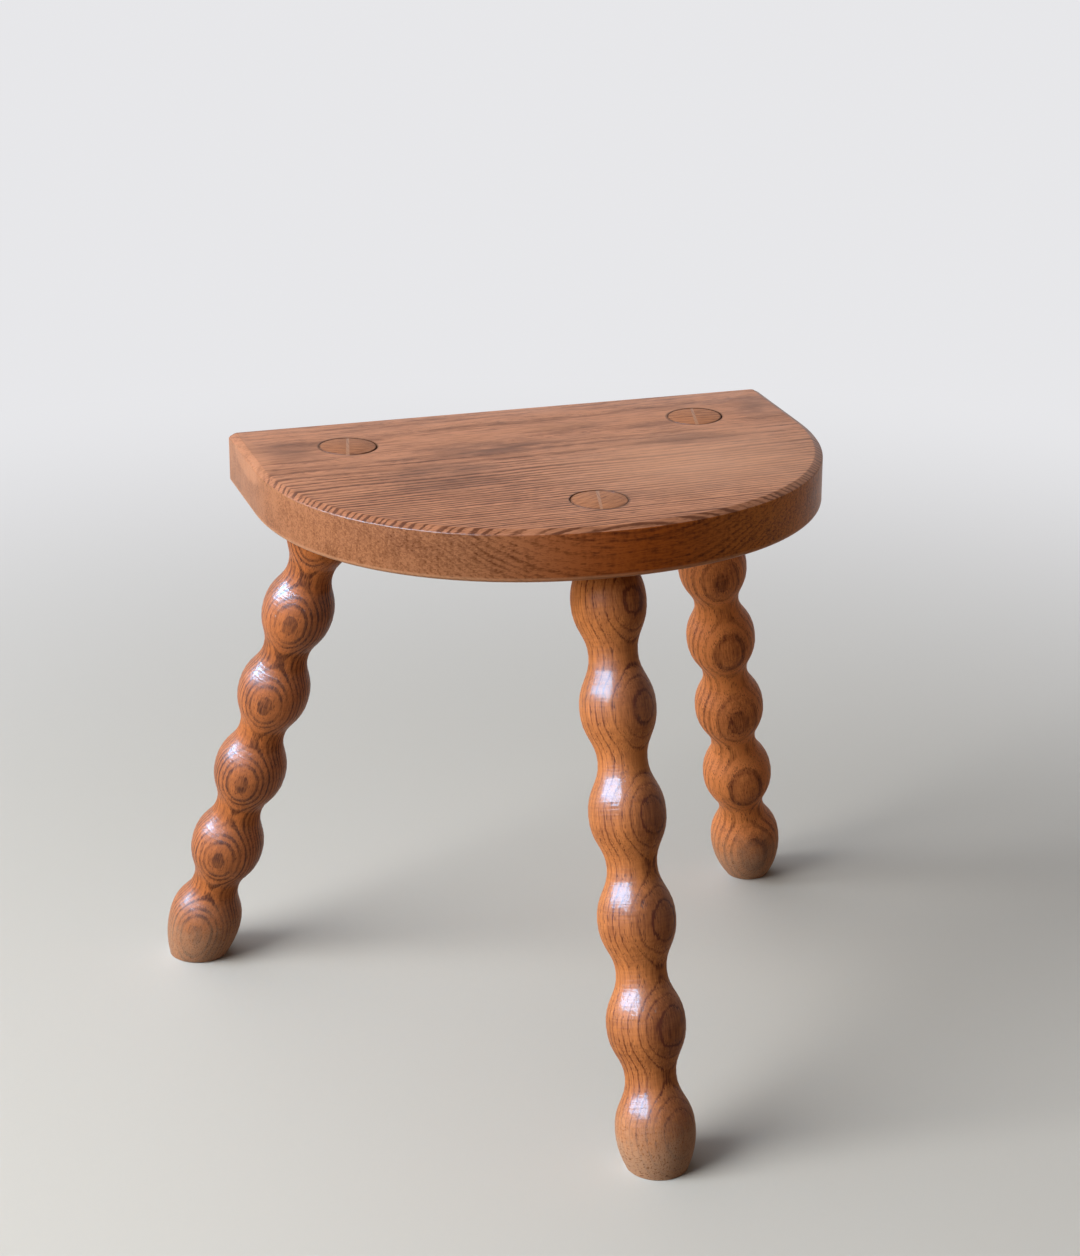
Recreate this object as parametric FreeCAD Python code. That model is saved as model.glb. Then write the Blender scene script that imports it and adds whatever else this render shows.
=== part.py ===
import FreeCAD, Part
import math
import os

# Bobbin stool: a D-shaped seat board on three splayed legs, each turned as a string of bobbins.
# Each leg has a round tenon that goes right through the board and is locked by a wedge from above.
# Millimetres. +Z is up, +X is to the right as seen from the front, and the round front faces -Y.
# The model is drawn about the middle of the seat's back edge, with the floor at z = 0,
# and moved at the end so that its origin is on the floor at the middle of its bounding box.

Vector = FreeCAD.Vector

# Seat board
SEAT_WIDTH = 300.0
SEAT_DEPTH = 209.0
SEAT_THICKNESS = 26.5
SIDE_LENGTH = 63.0             # straight run of each side, from the back edge to the start of the curve
FRONT_FULLNESS = 0.595         # share of the curve's half-axes that its handles take; 0.552 for an ellipse
BACK_CORNER_RADIUS = 1.5       # the two upright back corners, softened by wear
BEVEL_WIDTH = 3.9              # shallow bevel round the sides and front of the top
BEVEL_HEIGHT = 2.0
UNDER_CHAMFER = 1.3            # small chamfer round the sides and front of the underside

# Where the tenons come out of the seat's top
FRONT_TENON_SHIFT = 2.3        # the holes sit a touch to the right of the seat's middle
BACK_TENON_SHIFT = 1.0
BACK_TENON_SPREAD = 192.4      # between the centres of the two back tenons
BACK_TENON_SETBACK = 41.4      # from the back edge forward to the back tenons
FRONT_TENON_INSET = 43.4       # from the foremost point of the seat back to the front tenon

# How each leg leans: its splay from upright, and the direction that its foot points on plan,
# counted from straight back, clockwise as seen from above. The holes were bored by eye, so they differ.
FRONT_SPLAY = 16.8
FRONT_DIRECTION = 178.6
BACK_LEFT_SPLAY = 19.9
BACK_LEFT_DIRECTION = -39.2
BACK_RIGHT_SPLAY = 21.9
BACK_RIGHT_DIRECTION = 37.6

# The turning that the legs share, measured along the leg
BOBBIN_COUNT = 6
BOBBIN_PITCH = 53.4
FIRST_BOBBIN_DROP = 22.7       # from the seat's underside to the middle of the first bobbin
COLLAR_DIAMETER = 30.0         # short straight collar that bears on the seat's underside
COLLAR_HEIGHT = 6.5
FIRST_BOBBIN_DIAMETER = 38.2
BOBBIN_GROWTH = 0.54           # each bobbin is this much thicker than the one above it
FIRST_NECK_DIAMETER = 24.8
NECK_GROWTH = 0.3
BULGE_SHARE = 0.59             # share of each half pitch taken by the bobbin's round; the hollow has the rest

# Feet: the last bobbin of each leg, sawn level with the floor
FRONT_FOOT_DROP = 20.3         # from the middle of the front leg's last bobbin down to the floor
FRONT_FOOT_CONTACT = 30.6      # diameter of each foot where it is sawn off
BACK_LEFT_FOOT_CONTACT = 30.4
BACK_RIGHT_FOOT_CONTACT = 23.0
FOOT_EASE = 1.2                # chamfer worn on the rim of each foot

# Tenons and their wedges
TENON_DIAMETER = 28.5
BORE_CLEARANCE = 0.25          # gap all round a tenon in its hole
WEDGE_THICKNESS = 1.6          # at the seat's top
WEDGE_TIP = 0.5
WEDGE_DEPTH = 20.0
WEDGE_TURN = 14.0              # the wedges cross the seat's grain, turned by this much from square

# Spare length by which a cutter or a part to be trimmed overshoots
OVERSHOOT = 2.0

# The front leg sets the height of the seat, and the other legs are trimmed to it
BOBBIN_RUN = FIRST_BOBBIN_DROP + (BOBBIN_COUNT - 1) * BOBBIN_PITCH
UNDERSIDE = (BOBBIN_RUN + FRONT_FOOT_DROP) * math.cos(math.radians(FRONT_SPLAY))
SEAT_HEIGHT = UNDERSIDE + SEAT_THICKNESS

# x and y are the tenon's centre on the seat's top, contact is the diameter of the sawn foot
LEGS = {
    "front": {
        "x": FRONT_TENON_SHIFT,
        "y": FRONT_TENON_INSET - SEAT_DEPTH,
        "splay": math.radians(FRONT_SPLAY),
        "direction": math.radians(FRONT_DIRECTION),
        "contact": FRONT_FOOT_CONTACT,
    },
    "back_left": {
        "x": BACK_TENON_SHIFT - BACK_TENON_SPREAD / 2,
        "y": -BACK_TENON_SETBACK,
        "splay": math.radians(BACK_LEFT_SPLAY),
        "direction": math.radians(BACK_LEFT_DIRECTION),
        "contact": BACK_LEFT_FOOT_CONTACT,
    },
    "back_right": {
        "x": BACK_TENON_SHIFT + BACK_TENON_SPREAD / 2,
        "y": -BACK_TENON_SETBACK,
        "splay": math.radians(BACK_RIGHT_SPLAY),
        "direction": math.radians(BACK_RIGHT_DIRECTION),
        "contact": BACK_RIGHT_FOOT_CONTACT,
    },
}


def seat_outline(inset, z):
    """The seat's D at height z, drawn in from the sides and front by inset. The back edge stays."""
    half = SEAT_WIDTH / 2 - inset
    front = -(SEAT_DEPTH - inset)
    reach = SEAT_DEPTH - inset - SIDE_LENGTH
    corner = BACK_CORNER_RADIUS
    bend = corner * math.sqrt(0.5)

    def point(x, y):
        return Vector(x, y, z)

    def back_corner(side):
        start = point(side * (half - corner), 0)
        middle = point(side * (half - corner + bend), bend - corner)
        return Part.Arc(start, middle, point(side * half, -corner)).toShape()

    def straight_side(side):
        return Part.LineSegment(point(side * half, -corner), point(side * half, -SIDE_LENGTH)).toShape()

    def front_quarter(side):
        curve = Part.BezierCurve()
        curve.setPoles([
            point(side * half, -SIDE_LENGTH),
            point(side * half, -SIDE_LENGTH - FRONT_FULLNESS * reach),
            point(side * FRONT_FULLNESS * half, front),
            point(0, front),
        ])
        return curve.toShape()

    back = Part.LineSegment(point(corner - half, 0), point(half - corner, 0)).toShape()
    right = [back_corner(1), straight_side(1), front_quarter(1)]
    left = [front_quarter(-1), straight_side(-1), back_corner(-1)]
    return Part.Wire(Part.__sortEdges__([back] + right + left))


def leg_placement(leg):
    """The leg's own frame: origin at the tenon's centre on top, +Z up the leg, +Y along the wedge."""
    splay, direction = LEGS[leg]["splay"], LEGS[leg]["direction"]
    sideways = math.sin(splay)
    up = Vector(-sideways * math.sin(direction), -sideways * math.cos(direction), math.cos(splay))
    turn = math.radians(WEDGE_TURN)
    wedge_line = Vector(math.sin(turn), math.cos(turn), 0)
    origin = Vector(LEGS[leg]["x"], LEGS[leg]["y"], SEAT_HEIGHT)
    return FreeCAD.Placement(origin, FreeCAD.Rotation(Vector(), wedge_line, up, "ZYX"))


def arc_through(radius, start, end, bulge):
    """An arc between two (r, z) points of the profile. bulge is +1 away from the axis, -1 towards it."""
    (r0, z0), (r1, z1) = start, end
    chord = math.hypot(r1 - r0, z1 - z0)
    rise = radius - math.sqrt(radius ** 2 - chord ** 2 / 4)
    out_r, out_z = (z0 - z1) / chord, (r1 - r0) / chord
    middle = Vector((r0 + r1) / 2 + bulge * rise * out_r, 0, (z0 + z1) / 2 + bulge * rise * out_z)
    return Part.Arc(Vector(r0, 0, z0), middle, Vector(r1, 0, z1)).toShape()


def crown_radius(drop, along):
    """Radius of an arc that leaves a bobbin's middle square to the axis and falls by drop over along."""
    return (along ** 2 + drop ** 2) / (2 * drop)


def bobbin_to_neck(bobbin, neck):
    """The half pitch between the (r, z) middles of a bobbin and a neck: a round that flows into a hollow.
    Returns the point where they meet, on the straight line between the middles, and their two radii."""
    meet = tuple(b + (n - b) * BULGE_SHARE for b, n in zip(bobbin, neck))
    both = crown_radius(bobbin[0] - neck[0], abs(bobbin[1] - neck[1]))
    return meet, BULGE_SHARE * both, (1 - BULGE_SHARE) * both


def leg_profile(leg):
    """Half section of one leg below the seat, in the (r, z) plane of its own frame, too long at both ends."""
    splay, contact = LEGS[leg]["splay"], LEGS[leg]["contact"]
    seat_run = SEAT_THICKNESS / math.cos(splay)
    leg_run = SEAT_HEIGHT / math.cos(splay)
    bobbins = [(FIRST_BOBBIN_DIAMETER + i * BOBBIN_GROWTH) / 2 for i in range(BOBBIN_COUNT)]
    necks = [(FIRST_NECK_DIAMETER + i * NECK_GROWTH) / 2 for i in range(BOBBIN_COUNT - 1)]
    heights = [-(seat_run + FIRST_BOBBIN_DROP + i * BOBBIN_PITCH) for i in range(BOBBIN_COUNT)]

    # the first bobbin rounds up to the collar, which runs on past the slanted underside that trims it
    collar = COLLAR_DIAMETER / 2
    collar_foot = FIRST_BOBBIN_DROP - COLLAR_HEIGHT
    top = (collar, heights[0] + FIRST_BOBBIN_DROP + collar * math.tan(splay) + OVERSHOOT)
    shoulder = (collar, heights[0] + collar_foot)
    top_crown = crown_radius(bobbins[0] - collar, collar_foot)
    edges = [Part.LineSegment(Vector(top[0], 0, top[1]), Vector(shoulder[0], 0, shoulder[1])).toShape()]
    edges.append(arc_through(top_crown, shoulder, (bobbins[0], heights[0]), 1))

    for i, neck_radius in enumerate(necks):
        above = (bobbins[i], heights[i])
        neck = (neck_radius, heights[i] - BOBBIN_PITCH / 2)
        below = (bobbins[i + 1], heights[i + 1])
        meet, round_radius, hollow_radius = bobbin_to_neck(above, neck)
        edges.append(arc_through(round_radius, above, meet, 1))
        edges.append(arc_through(hollow_radius, meet, neck, -1))
        meet, round_radius, hollow_radius = bobbin_to_neck(below, neck)
        edges.append(arc_through(hollow_radius, neck, meet, -1))
        edges.append(arc_through(round_radius, meet, below, 1))

    # the last bobbin runs down to the floor and on, past the slanted floor that trims it
    foot_drop = leg_run + heights[-1]
    foot_crown = crown_radius(bobbins[-1] - contact / 2, foot_drop)
    foot_run = foot_drop + contact / 2 * math.tan(splay) + OVERSHOOT
    foot_end = bobbins[-1] - foot_crown + math.sqrt(foot_crown ** 2 - foot_run ** 2)
    end = (foot_end, heights[-1] - foot_run)
    edges.append(arc_through(foot_crown, (bobbins[-1], heights[-1]), end, 1))

    axis_top, axis_end = Vector(0, 0, top[1]), Vector(0, 0, end[1])
    edges.insert(0, Part.LineSegment(axis_top, Vector(top[0], 0, top[1])).toShape())
    edges.append(Part.LineSegment(Vector(end[0], 0, end[1]), axis_end).toShape())
    edges.append(Part.LineSegment(axis_end, axis_top).toShape())
    return Part.Face(Part.Wire(edges))


def slab(z_low, z_high):
    """A level slab that reaches past the feet on every side, to trim the legs with."""
    reach = SEAT_WIDTH + SEAT_DEPTH + SEAT_HEIGHT
    return Part.makeBox(2 * reach, 2 * reach, z_high - z_low, Vector(-reach, -reach, z_low))


def tenon_cylinder(leg, radius):
    """A round bar along the leg's axis, from above the seat's top to the middle of the first bobbin."""
    splay = LEGS[leg]["splay"]
    above = radius * math.tan(splay) + OVERSHOOT
    length = above + SEAT_THICKNESS / math.cos(splay) + FIRST_BOBBIN_DROP
    bar = Part.makeCylinder(radius, length, Vector(0, 0, above - length))
    bar.Placement = leg_placement(leg)
    return bar


def wedge_bar(leg):
    """The wedge before its ends and top are trimmed: a long tapered strip across the tenon."""
    above = TENON_DIAMETER / 2 * math.tan(LEGS[leg]["splay"]) + OVERSHOOT
    thick = WEDGE_THICKNESS + (WEDGE_THICKNESS - WEDGE_TIP) * above / WEDGE_DEPTH
    corners = [
        Vector(-WEDGE_TIP / 2, -TENON_DIAMETER, -WEDGE_DEPTH),
        Vector(WEDGE_TIP / 2, -TENON_DIAMETER, -WEDGE_DEPTH),
        Vector(thick / 2, -TENON_DIAMETER, above),
        Vector(-thick / 2, -TENON_DIAMETER, above),
    ]
    section = Part.Face(Part.makePolygon(corners + corners[:1]))
    strip = section.extrude(Vector(0, 2 * TENON_DIAMETER, 0))
    strip.Placement = leg_placement(leg)
    return strip


def seat_board():
    """The board with its bevel and chamfer, bored for the three tenons."""
    sections = [
        seat_outline(UNDER_CHAMFER, UNDERSIDE),
        seat_outline(0, UNDERSIDE + UNDER_CHAMFER),
        seat_outline(0, SEAT_HEIGHT - BEVEL_HEIGHT),
        seat_outline(BEVEL_WIDTH, SEAT_HEIGHT),
    ]
    board = Part.makeLoft(sections, True, True)
    for leg in LEGS:
        board = board.cut(tenon_cylinder(leg, TENON_DIAMETER / 2 + BORE_CLEARANCE))
    return board


def turned_leg(leg):
    """One leg: bobbins scribed to the seat's underside and sawn at the floor, with its slit tenon on top."""
    turning = leg_profile(leg).revolve(Vector(), Vector(0, 0, 1), 360)
    turning.Placement = leg_placement(leg)
    turning = turning.common(slab(0, UNDERSIDE))
    rim = [edge for edge in turning.Edges if edge.BoundBox.ZMax < FOOT_EASE / 2]
    turning = turning.makeChamfer(FOOT_EASE, rim)
    tenon = tenon_cylinder(leg, TENON_DIAMETER / 2).common(slab(0, SEAT_HEIGHT))
    return turning.fuse(tenon).removeSplitter().cut(wedge_bar(leg))


def wedge(leg):
    """The wedge as driven: flush with the seat's top and with the tenon's sides."""
    return wedge_bar(leg).common(tenon_cylinder(leg, TENON_DIAMETER / 2)).common(slab(0, SEAT_HEIGHT))


pieces = {"seat_board": seat_board()}
for leg_name in LEGS:
    pieces["leg_" + leg_name] = turned_leg(leg_name)
for leg_name in LEGS:
    pieces["wedge_" + leg_name] = wedge(leg_name)

box = Part.makeCompound(list(pieces.values())).optimalBoundingBox(False, False)
to_origin = Vector(-box.Center.x, -box.Center.y, -box.ZMin)

os.makedirs("parts", exist_ok=True)
for name, shape in pieces.items():
    solid = shape.Solids[0].translated(to_origin)
    solid.exportStep(f"parts/{name}.step")
    print(name, "solids", len(shape.Solids), "valid", solid.isValid(), "volume", round(solid.Volume), "mm3")
print("overall", [round(side, 1) for side in (box.XLength, box.YLength, box.ZLength)])
print("from the drawing's origin to the part's", [round(value, 2) for value in to_origin])
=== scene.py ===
# %% [markdown]
# # A bobbin stool
# The stool is a D-shaped board on three legs, each turned on a lathe as a string of bobbins. A round tenon
# on top of each leg goes right through the board and is spread by a wedge from above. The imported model
# already holds every piece at its real size. It is loaded here as a fixed frame, and each piece is modelled
# again in its place with softer edges and a wood finish.

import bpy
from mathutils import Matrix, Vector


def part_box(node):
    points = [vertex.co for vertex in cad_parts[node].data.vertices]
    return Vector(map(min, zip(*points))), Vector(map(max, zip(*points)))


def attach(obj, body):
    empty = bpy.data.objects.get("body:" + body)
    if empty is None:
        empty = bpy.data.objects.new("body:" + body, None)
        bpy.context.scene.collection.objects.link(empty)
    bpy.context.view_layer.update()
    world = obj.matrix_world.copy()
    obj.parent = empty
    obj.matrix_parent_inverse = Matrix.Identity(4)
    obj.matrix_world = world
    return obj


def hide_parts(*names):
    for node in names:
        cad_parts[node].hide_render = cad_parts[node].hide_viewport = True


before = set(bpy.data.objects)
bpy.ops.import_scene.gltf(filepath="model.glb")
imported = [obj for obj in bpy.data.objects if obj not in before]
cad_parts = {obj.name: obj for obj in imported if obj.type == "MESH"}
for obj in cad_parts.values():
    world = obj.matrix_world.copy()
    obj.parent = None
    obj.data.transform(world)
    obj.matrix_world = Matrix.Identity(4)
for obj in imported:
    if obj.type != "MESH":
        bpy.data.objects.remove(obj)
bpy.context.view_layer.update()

# %% Blender's modules and one unit
import math
from types import SimpleNamespace

import bmesh
import bpy
from mathutils import Matrix, Vector

MM = 0.001
print("Blender", bpy.app.version_string)

# %% [markdown]
# ## The camera
# The camera comes first, because every later choice is judged through it. It stands in front of the stool,
# a little to the left, and looks down at about twenty degrees with a long lens. Its place is counted from
# the middle of the seat's back edge, which the frame gives, so it follows the part.

# %% Place the camera
seat_low, seat_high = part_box("seat_board")
SEAT_MIDDLE = (seat_low.x + seat_high.x) / 2
SEAT_BACK = seat_high.y
SEAT_TOP = seat_high.z
UNDERSIDE = seat_low.z

CAMERA_FROM_BACK_EDGE = Vector((-473.3, -1590.5, 808.5)) * MM
CAMERA_TILT = math.radians(20.22)
CAMERA_TURN = math.radians(17.34)
CAMERA_ROLL = math.radians(0.17)
LENS = 91.1

bpy.ops.object.select_all(action="DESELECT")
bpy.ops.object.camera_add(location=CAMERA_FROM_BACK_EDGE + Vector((SEAT_MIDDLE, SEAT_BACK, 0)))
camera = bpy.context.object
camera.data.lens = LENS
aim = Matrix.Rotation(-CAMERA_TURN, 4, "Z") @ Matrix.Rotation(math.pi / 2 - CAMERA_TILT, 4, "X")
camera.rotation_euler = (aim @ Matrix.Rotation(CAMERA_ROLL, 4, "Z")).to_euler()
bpy.context.scene.camera = camera
print("camera at", [round(value, 3) for value in camera.location])

# %% [markdown]
# ## Helpers for modelling
# An operator acts on whatever is selected, so each step first selects one piece and nothing else. Edges are
# picked in code by where they are, in place of a click.

# %% Select one piece, and parts of its mesh
SAME_PLACE = 0.01 * MM


def only(piece):
    """Select this piece and nothing else."""
    bpy.ops.object.select_all(action="DESELECT")
    piece.select_set(True)
    bpy.context.view_layer.objects.active = piece


def edit(piece):
    """Enter edit mode with the whole mesh selected."""
    only(piece)
    bpy.ops.object.mode_set(mode="EDIT")
    bpy.ops.mesh.select_mode(type="VERT")
    bpy.ops.mesh.select_all(action="SELECT")


def leave_edit():
    bpy.ops.object.mode_set(mode="OBJECT")


def pick_vertices(piece, wanted):
    """In edit mode, select the vertices whose place passes the test, and the edges between them."""
    mesh = bmesh.from_edit_mesh(piece.data)
    for vertex in mesh.verts:
        vertex.select = wanted(vertex.co)
    mesh.select_flush_mode()
    bmesh.update_edit_mesh(piece.data)


def close_enough(first, second):
    return abs(first - second) < SAME_PLACE


print("places closer than", round(SAME_PLACE / MM, 3), "mm count as one")

# %% Draw a curve, and cut or trim with another solid
def draw_curve(name, knots, steps):
    """Draw a Bezier curve through knots of (place, handle before, handle after), and make it mesh edges."""
    bpy.ops.object.select_all(action="DESELECT")
    bpy.ops.curve.primitive_bezier_curve_add()
    piece = bpy.context.object
    spline = piece.data.splines[0]
    spline.bezier_points.add(len(knots) - 2)
    for point, (place, before, after) in zip(spline.bezier_points, knots):
        point.handle_left_type = "FREE"
        point.handle_right_type = "FREE"
        point.co = place
        point.handle_left = before
        point.handle_right = after
    spline.resolution_u = steps
    bpy.ops.object.convert(target="MESH")
    piece = bpy.context.object
    piece.name = name
    return piece


def boolean(piece, operation, tool):
    """Cut or trim a piece with another solid, which stays as it is."""
    only(piece)
    modifier = piece.modifiers.new("boolean", "BOOLEAN")
    modifier.operation = operation
    modifier.solver = "EXACT"
    modifier.object = tool
    bpy.ops.object.modifier_apply(modifier=modifier.name)


def put(piece, place):
    """Move and turn a piece by a matrix, and keep the result in its mesh."""
    only(piece)
    piece.matrix_world = place
    bpy.ops.object.transform_apply(location=True, rotation=True, scale=True)


print("helpers ready")

# %% [markdown]
# ## Where the legs stand
# The three holes were bored by eye, so each leg leans a little differently. A leg is easiest to model
# upright, on its own axis, and to set in place when it is done. Each leg has a frame for that: its origin
# is the middle of the tenon on the seat's top, +Z runs up the leg, and +Y runs along the wedge in the
# tenon.

# %% One frame for each leg
TENON_PLACES = {
    "front": Vector((2.3, -165.6, 0)) * MM,
    "back_left": Vector((-95.2, -41.4, 0)) * MM,
    "back_right": Vector((97.2, -41.4, 0)) * MM,
}
SPLAY = {"front": math.radians(16.8), "back_left": math.radians(19.9), "back_right": math.radians(21.9)}
DIRECTION = {"front": math.radians(178.6), "back_left": math.radians(-39.2), "back_right": math.radians(37.6)}
WEDGE_TURN = math.radians(14)
LEGS = tuple(TENON_PLACES)


def up_the_leg(leg):
    sideways = math.sin(SPLAY[leg])
    return Vector((
        -sideways * math.sin(DIRECTION[leg]),
        -sideways * math.cos(DIRECTION[leg]),
        math.cos(SPLAY[leg]),
    ))


def tenon_centre(leg):
    return TENON_PLACES[leg] + Vector((SEAT_MIDDLE, SEAT_BACK, SEAT_TOP))


def frame_about(origin, up, towards):
    """A frame with +Z along up and +Y as near to towards as that allows."""
    across = towards.cross(up).normalized()
    return Matrix.Translation(origin) @ Matrix((across, up.cross(across), up)).transposed().to_4x4()


def leg_frame(leg):
    wedge_line = Vector((math.sin(WEDGE_TURN), math.cos(WEDGE_TURN), 0))
    return frame_about(tenon_centre(leg), up_the_leg(leg), wedge_line)


for leg in LEGS:
    print(leg, "tenon at", [round(value, 4) for value in tenon_centre(leg)])

# %% [markdown]
# ## A turned leg
# On the lathe a leg is one profile turned about an axis, so in Blender it is one curve and the Spin tool.
# The curve has a knot at the middle of each bobbin and each neck. Upright handles there make the bulge and
# the hollow flow into each other. The profile is left too long at both ends, because the seat and the floor
# cut it at a slant.

# %% The profile of a leg
BOBBINS = 6
PITCH = 53.4 * MM
FIRST_BOBBIN_DROP = 22.7 * MM
FIRST_BOBBIN_RADIUS = 19.1 * MM
BOBBIN_GROWTH = 0.27 * MM
FIRST_NECK_RADIUS = 12.4 * MM
NECK_GROWTH = 0.15 * MM
COLLAR_RADIUS = 15 * MM
COLLAR_HEIGHT = 6.5 * MM
FOOT_RADIUS = {"front": 15.3 * MM, "back_left": 15.2 * MM, "back_right": 11.5 * MM}
BULGE_FULLNESS = 0.518
HOLLOW_FULLNESS = 0.406
BULGE_HANDLE = BULGE_FULLNESS * PITCH / 2
HOLLOW_HANDLE = HOLLOW_FULLNESS * PITCH / 2
SPARE = 8 * MM
SEAT_THICKNESS = SEAT_TOP - UNDERSIDE


def crown(drop, along):
    """Radius and angle of an arc that leaves a bobbin's middle upright and falls by drop over along."""
    radius = (along ** 2 + drop ** 2) / (2 * drop)
    return radius, math.asin(along / radius)


def arc_handle(radius, angle):
    """Length of the handles that make a Bezier span follow an arc."""
    return 4 / 3 * math.tan(angle / 4) * radius


def upright_knot(radius, height, above, below):
    """A knot of the profile at a bobbin's or a neck's middle, with upright handles of these lengths."""
    place = Vector((radius, 0, height))
    return place, place + Vector((0, 0, above)), place - Vector((0, 0, below))


def leg_knots(leg):
    seat_run = SEAT_THICKNESS / math.cos(SPLAY[leg])
    leg_run = SEAT_TOP / math.cos(SPLAY[leg])
    heights = [-(seat_run + FIRST_BOBBIN_DROP + i * PITCH) for i in range(BOBBINS)]
    radii = [FIRST_BOBBIN_RADIUS + i * BOBBIN_GROWTH for i in range(BOBBINS)]

    # the collar under the seat, and the arc down to the first bobbin
    shoulder_run = FIRST_BOBBIN_DROP - COLLAR_HEIGHT
    top_radius, top_angle = crown(radii[0] - COLLAR_RADIUS, shoulder_run)
    top_handle = arc_handle(top_radius, top_angle)
    collar_top = Vector((COLLAR_RADIUS, 0, heights[0] + FIRST_BOBBIN_DROP + SPARE))
    shoulder = Vector((COLLAR_RADIUS, 0, heights[0] + shoulder_run))
    slope = Vector((math.sin(top_angle), 0, -math.cos(top_angle)))
    knots = [(collar_top, collar_top, collar_top), (shoulder, shoulder, shoulder + slope * top_handle)]

    # the arc from the last bobbin down to the floor and on below it
    foot_drop = leg_run + heights[-1]
    foot_curve, _ = crown(radii[-1] - FOOT_RADIUS[leg], foot_drop)
    foot_angle = math.asin((foot_drop + SPARE) / foot_curve)
    foot_handle = arc_handle(foot_curve, foot_angle)
    foot_end = Vector((
        radii[-1] - foot_curve * (1 - math.cos(foot_angle)),
        0,
        heights[-1] - foot_drop - SPARE,
    ))
    foot_slope = Vector((math.sin(foot_angle), 0, math.cos(foot_angle)))

    for i in range(BOBBINS):
        above = top_handle if i == 0 else BULGE_HANDLE
        below = foot_handle if i == BOBBINS - 1 else BULGE_HANDLE
        knots.append(upright_knot(radii[i], heights[i], above, below))
        if i < BOBBINS - 1:
            neck = FIRST_NECK_RADIUS + i * NECK_GROWTH
            knots.append(upright_knot(neck, heights[i] - PITCH / 2, HOLLOW_HANDLE, HOLLOW_HANDLE))
    knots.append((foot_end, foot_end + foot_slope * foot_handle, foot_end))
    return knots


print("profile of", len(leg_knots("front")), "knots")

# %% [markdown]
# Spin turns the profile into a tube. Bisect saws it level at the floor and at the underside of the seat,
# and each sawn loop is extruded on along the leg. At the foot it draws in along a small quarter circle,
# because the rim is worn round. At the top it first draws in flat, which leaves the shoulder that the seat
# rests on, and then runs up through the seat as the tenon.

# %% Spin, saw and extrude
PROFILE_STEPS = 8
SPIN_STEPS = 128
MERGE_WITHIN = 0.001 * MM
FOOT_EASE = 1.2 * MM
TENON_RADIUS = 14.25 * MM
TENON_EASE = 0.35 * MM
EASE_STEPS = 3


def spin_profile(name, leg):
    piece = draw_curve(name, leg_knots(leg), PROFILE_STEPS)
    edit(piece)
    bpy.ops.mesh.spin(steps=SPIN_STEPS, angle=math.tau, center=(0, 0, 0), axis=(0, 0, 1))
    bpy.ops.mesh.select_all(action="SELECT")
    bpy.ops.mesh.remove_doubles(threshold=MERGE_WITHIN)
    leave_edit()
    put(piece, leg_frame(leg))
    return piece


def saw(height, keep_below):
    """In edit mode, cut the mesh level at a height and drop one side. The sawn loop stays selected."""
    bpy.ops.mesh.select_all(action="SELECT")
    bpy.ops.mesh.bisect(
        plane_co=(0, 0, height),
        plane_no=(0, 0, 1),
        clear_outer=keep_below,
        clear_inner=not keep_below,
        threshold=MERGE_WITHIN,
    )


def extrude_along(leg, start, end, scale=1.0):
    """In edit mode, extrude the selected loop along the leg from start to end and scale it there."""
    lean = up_the_leg(leg) / math.cos(SPLAY[leg])
    middle = tenon_centre(leg) + lean * (end - SEAT_TOP)
    bpy.ops.mesh.extrude_region_move(TRANSFORM_OT_translate={"value": lean * (end - start)})
    bpy.ops.transform.resize(value=(scale, scale, 1), center_override=middle)


def ease_rim(leg, height, outward, radius, ease):
    """In edit mode, extrude the selected loop to a height in steps that round the rim, and close it."""
    start = height - outward * ease
    width = radius
    for step in range(1, EASE_STEPS + 1):
        angle = math.pi / 2 * step / EASE_STEPS
        end = height - outward * ease * (1 - math.sin(angle))
        inner = radius - ease * (1 - math.cos(angle))
        extrude_along(leg, start, end, inner / width)
        start = end
        width = inner
    bpy.ops.mesh.edge_face_add()


def turned_leg(leg):
    piece = spin_profile("bobbin_leg_" + leg, leg)
    edit(piece)
    saw(FOOT_EASE, False)
    ease_rim(leg, 0, -1, FOOT_RADIUS[leg], FOOT_EASE)
    saw(UNDERSIDE, True)
    extrude_along(leg, UNDERSIDE, UNDERSIDE, TENON_RADIUS / COLLAR_RADIUS)
    extrude_along(leg, UNDERSIDE, SEAT_TOP - TENON_EASE)
    ease_rim(leg, SEAT_TOP, 1, TENON_RADIUS, TENON_EASE)
    bpy.ops.mesh.select_all(action="SELECT")
    bpy.ops.mesh.normals_make_consistent(inside=False)
    leave_edit()
    return piece


turned_legs = {leg: turned_leg(leg) for leg in LEGS}
for leg, piece in turned_legs.items():
    print(piece.name, len(piece.data.polygons), "faces")

# %% [markdown]
# ## Wedges
# A wedge driven into a saw slit spreads the tenon in its hole. It starts as a cube and is drawn thinner at
# its lower end. One copy is trimmed to the tenon with a boolean and is the wedge. The other cuts the slit
# it sits in.

# %% Make the wedges and their slits
WEDGE_THICKNESS = 1.6 * MM
WEDGE_TIP = 0.5 * MM
WEDGE_DEPTH = 20 * MM
WEDGE_ABOVE = 8 * MM


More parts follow.
